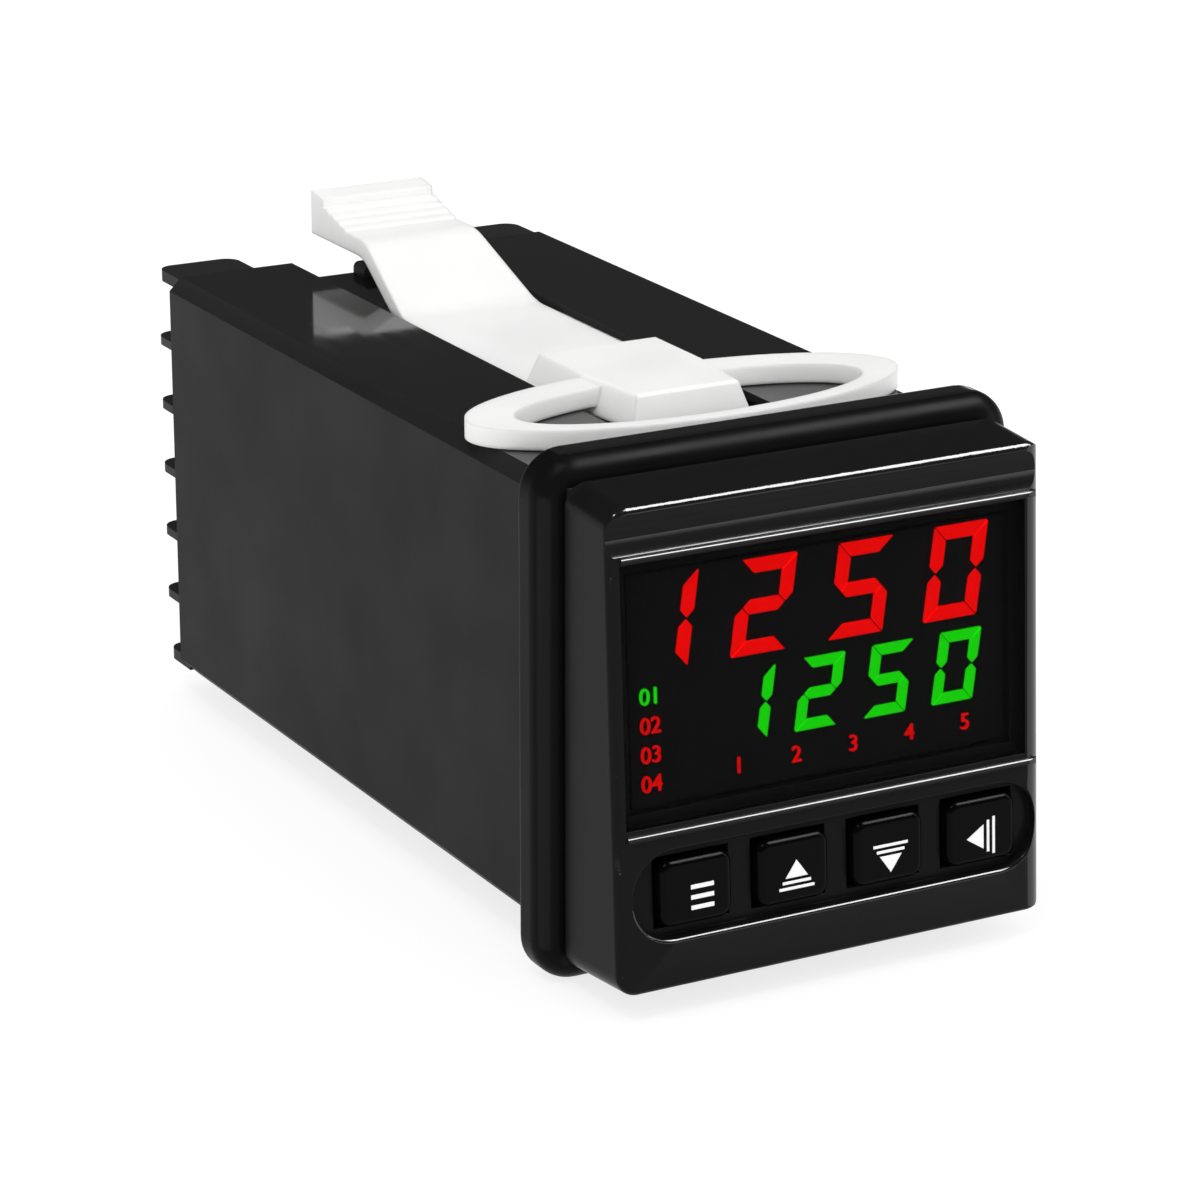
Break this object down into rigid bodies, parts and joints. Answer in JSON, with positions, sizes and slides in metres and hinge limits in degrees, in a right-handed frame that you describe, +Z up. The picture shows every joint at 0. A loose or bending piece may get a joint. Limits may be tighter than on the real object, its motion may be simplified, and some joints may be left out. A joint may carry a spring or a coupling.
{
  "type": "panel temperature controller",
  "caption": "Square panel-mount temperature controller with a plug-in front, digit display, keys, rear screw terminals and a white sliding mounting clip.",
  "frame": {"origin": "centre of the panel cut-out, in the plane where the collar seats on the panel", "axes": "+Y back along the sleeve, -Y towards the person at the panel, +X to that person's right, +Z up"},
  "size_m": [0.0484, 0.1014, 0.0534],
  "materials": {
    "sleeve_plastic": "fine satin moulding grain",
    "bezel_plastic": "satin",
    "seal_rubber": "dull",
    "window_tint": "clear polished smoke tint",
    "display_case": "dull",
    "red_light": "lit",
    "green_light": "lit",
    "board_laminate": "satin solder mask",
    "component_plastic": "satin",
    "relay_plastic": "satin",
    "header_plastic": "satin",
    "winding_tape": "satin tape",
    "capacitor_sleeve": "glossy shrink sleeve",
    "key_plastic": "satin",
    "clip_plastic": "satin",
    "block_plastic": "satin",
    "screw_steel": "nickel plated",
    "contact_brass": "plated"
  },
  "bodies": {
    "housing": {"housing_sleeve": "sleeve_plastic", "terminal_block": "block_plastic", "terminal_screws": "screw_steel", "terminal_clamps": "screw_steel", "contact_springs": "contact_brass"},
    "module": {"front_bezel": "bezel_plastic", "bezel_seal": "seal_rubber", "display_window": "window_tint", "display_block": "display_case", "upper_digits": "red_light", "lower_digits": "green_light", "run_lamp": "green_light", "status_lamps": "red_light", "display_board": "board_laminate", "main_board": "board_laminate", "power_board": "board_laminate", "board_headers": "header_plastic", "key_switches": "component_plastic", "power_transformer": "winding_tape", "input_capacitor": "capacitor_sleeve", "output_relays": "relay_plastic", "processor_chip": "component_plastic"},
    "clip": {"mounting_clip": "clip_plastic"},
    "key_menu": {"key_menu": "key_plastic"},
    "key_up": {"key_up": "key_plastic"},
    "key_down": {"key_down": "key_plastic"},
    "key_shift_left": {"key_shift_left": "key_plastic"}
  },
  "joints": [
    {"name": "module_slide", "type": "slide", "parent": "housing", "child": "module", "axis": [0, -1, 0], "range_m": [0, 0.075]},
    {"name": "clip_slide", "type": "slide", "parent": "housing", "child": "clip", "axis": [0, 1, 0], "range_m": [-0.0035, 0.017]},
    {"name": "key_menu_press", "type": "slide", "parent": "module", "child": "key_menu", "axis": [0, 0.9982, -0.0593], "range_m": [0, 0.0007], "stiffness_N_per_m": 1500},
    {"name": "key_up_press", "type": "slide", "parent": "module", "child": "key_up", "axis": [0, 0.9982, -0.0593], "range_m": [0, 0.0007], "stiffness_N_per_m": 1500},
    {"name": "key_down_press", "type": "slide", "parent": "module", "child": "key_down", "axis": [0, 0.9982, -0.0593], "range_m": [0, 0.0007], "stiffness_N_per_m": 1500},
    {"name": "key_shift_left_press", "type": "slide", "parent": "module", "child": "key_shift_left", "axis": [0, 0.9982, -0.0593], "range_m": [0, 0.0007], "stiffness_N_per_m": 1500}
  ]
}
